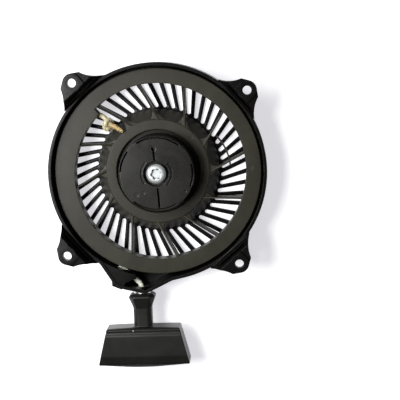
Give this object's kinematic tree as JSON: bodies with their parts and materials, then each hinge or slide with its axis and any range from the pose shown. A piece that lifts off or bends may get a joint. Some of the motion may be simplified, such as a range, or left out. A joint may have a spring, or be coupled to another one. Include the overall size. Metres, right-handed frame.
{
  "type": "recoil starter",
  "caption": "Round pull-start unit for a small engine: slotted black housing with ears, spoked rope pulley, pawls under a friction plate, and a T-handle on a rope.",
  "frame": {"origin": "pulley axis in the plane of the four mounting ears", "axes": "+Z along the pulley axis towards the engine, +Y opposite to the rope outlet"},
  "size_m": [0.148, 0.2107, 0.038],
  "materials": {
    "housing_black": "satin moulded black",
    "pulley_dark": "satin moulded dark grey",
    "plate_dark": "satin moulded dark grey",
    "handle_black": "semi-matt moulded black",
    "zinc": "bright zinc plate",
    "spring_steel": "oiled spring steel",
    "guide_steel": "polished steel",
    "brass": "turned brass",
    "pawl_steel": "sintered steel",
    "rope_white": "braided nylon rope"
  },
  "bodies": {
    "housing": {"housing_shell": "housing_black", "rope_guide": "guide_steel", "pulley_sleeve": "guide_steel", "thread_insert": "brass", "center_screw": "zinc", "recoil_spring": "spring_steel", "friction_spring": "spring_steel", "rope_lead": "rope_white"},
    "pulley": {"rope_pulley": "pulley_dark", "spring_keeper": "spring_steel", "rope_wound": "rope_white", "pulley_knot": "rope_white"},
    "plate": {"friction_plate": "plate_dark"},
    "pawl_a": {"pawl_a": "pawl_steel"},
    "pawl_b": {"pawl_b": "pawl_steel"},
    "handle": {"handle_grip": "handle_black", "grip_insert": "guide_steel", "handle_knot": "rope_white", "rope_tail": "rope_white"}
  },
  "joints": [
    {"name": "pulley_spin", "type": "hinge", "parent": "housing", "child": "pulley", "pos_m": [0, 0, -0.021], "axis": [0, 0, 1], "range_deg": [0, 1170], "stiffness_Nm_per_rad": 0.02, "springref_deg": -721.93, "deforming": ["recoil_spring"]},
    {"name": "handle_pull", "type": "slide", "parent": "housing", "child": "handle", "axis": [0.075, -0.9972, 0], "range_m": [0, 1.3181]},
    {"name": "plate_turn", "type": "hinge", "parent": "pulley", "child": "plate", "pos_m": [0, 0, -0.004], "axis": [0, 0, 1], "range_deg": [-18, 0]},
    {"name": "pawl_a_swing", "type": "hinge", "parent": "pulley", "child": "pawl_a", "pos_m": [0.01708, -0.00833, -0.0068], "axis": [0, 0, 1], "range_deg": [-16.01, 0.01]},
    {"name": "pawl_b_swing", "type": "hinge", "parent": "pulley", "child": "pawl_b", "pos_m": [-0.01708, 0.00833, -0.0068], "axis": [0, 0, 1], "range_deg": [-16.01, 0.01]}
  ],
  "couplings": [
    {"joint": "handle_pull", "follows": "pulley_spin", "m_per_rad": 0.0645},
    {"joint": "pawl_a_swing", "follows": "plate_turn", "ratio": 0.88889},
    {"joint": "pawl_b_swing", "follows": "plate_turn", "ratio": 0.88889}
  ]
}
